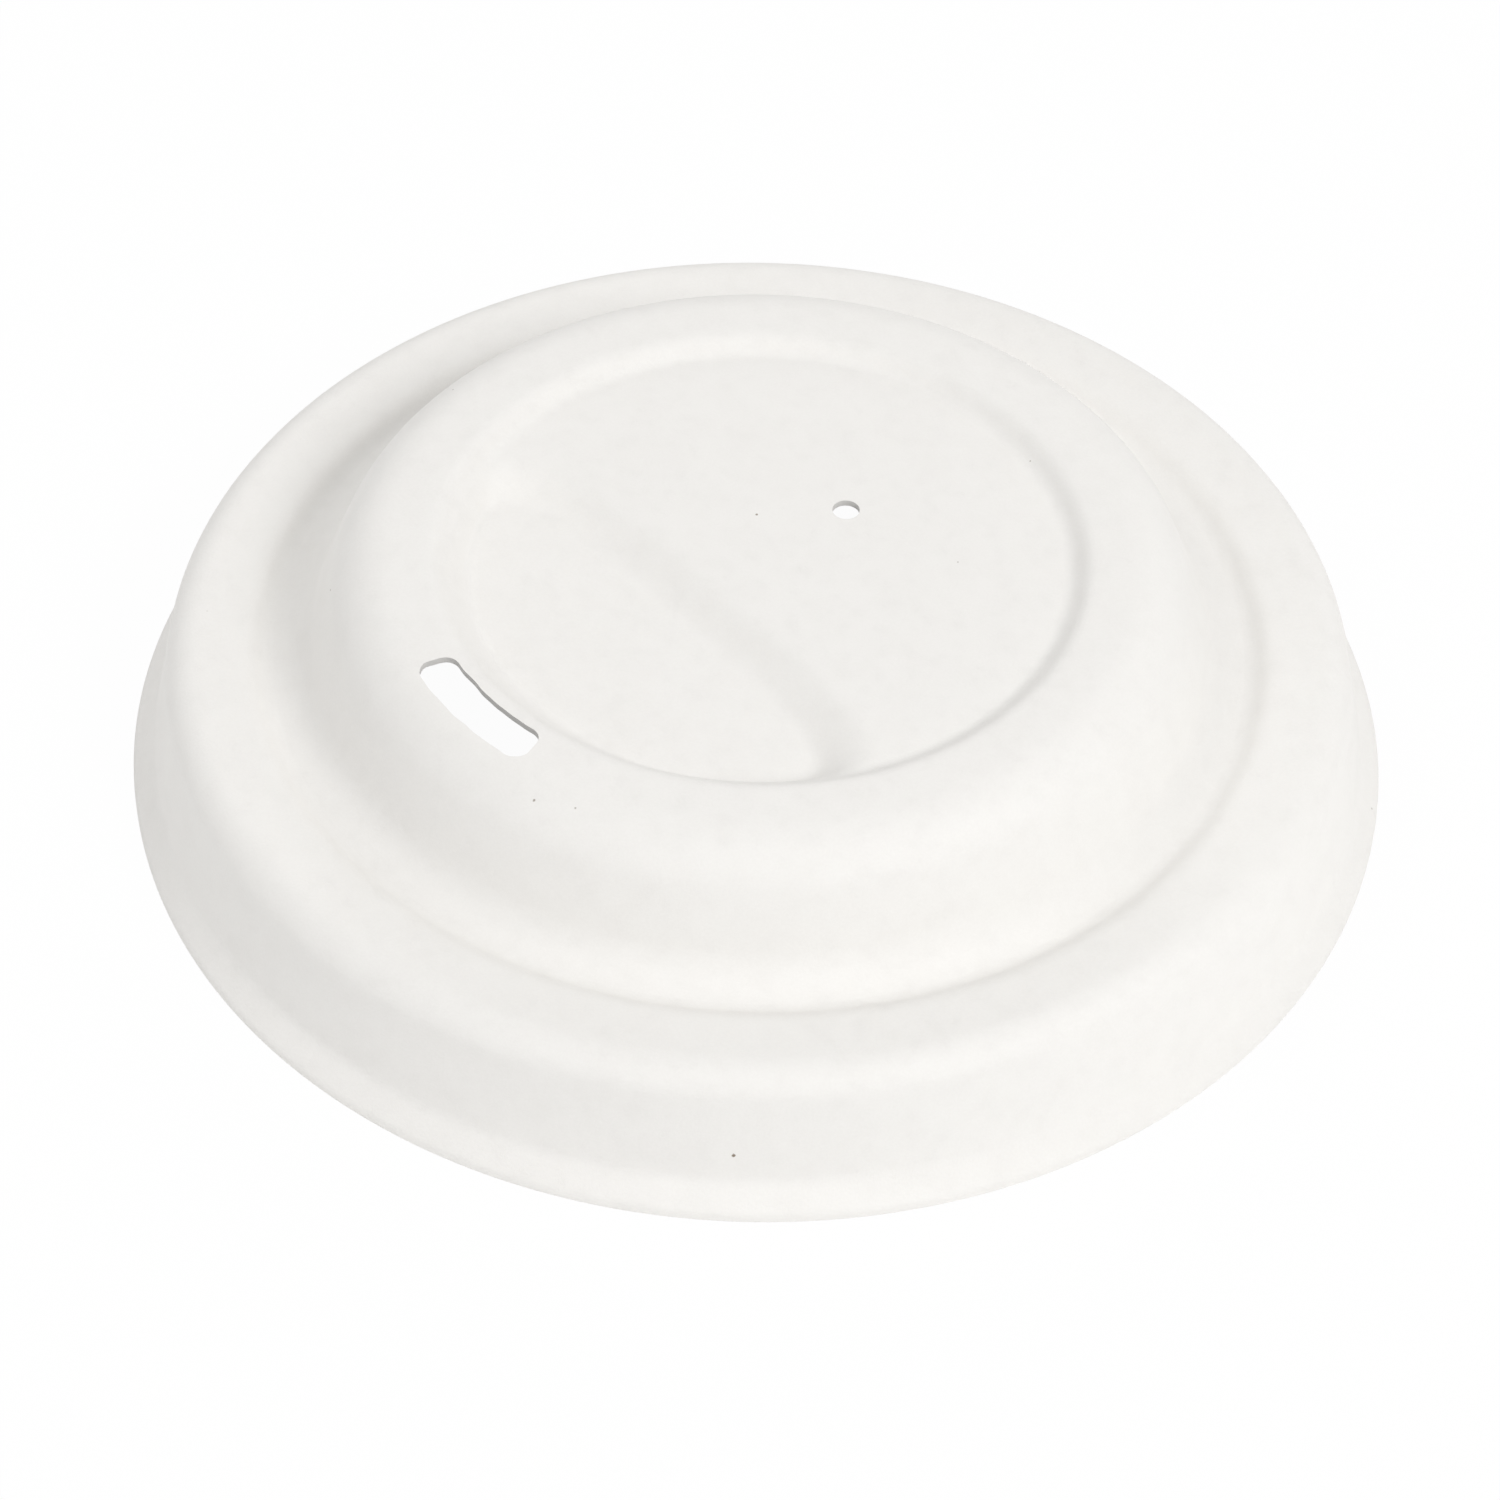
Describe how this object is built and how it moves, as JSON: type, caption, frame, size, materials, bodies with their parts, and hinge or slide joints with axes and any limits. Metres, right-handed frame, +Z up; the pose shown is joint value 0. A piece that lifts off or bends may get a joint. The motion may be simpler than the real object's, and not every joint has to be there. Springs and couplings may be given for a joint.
{
  "type": "coffee cup lid",
  "caption": "Thin moulded-fibre takeaway cup lid: raised ring with a sip slot, recessed top with a drinking pocket and a vent, rounded rim over the cup, and a skirt with a flared lip.",
  "frame": {"origin": "centre of the lip's underside, where the lid rests on a table", "axes": "+Z up through the top of the lid, -Y towards the sip slot"},
  "size_m": [0.093, 0.093, 0.0186],
  "materials": {
    "moulded_fibre": "matte pressed plant fibre, off-white, with fine fibre marks"
  },
  "bodies": {
    "root": {"lid": "moulded_fibre"}
  },
  "joints": []
}
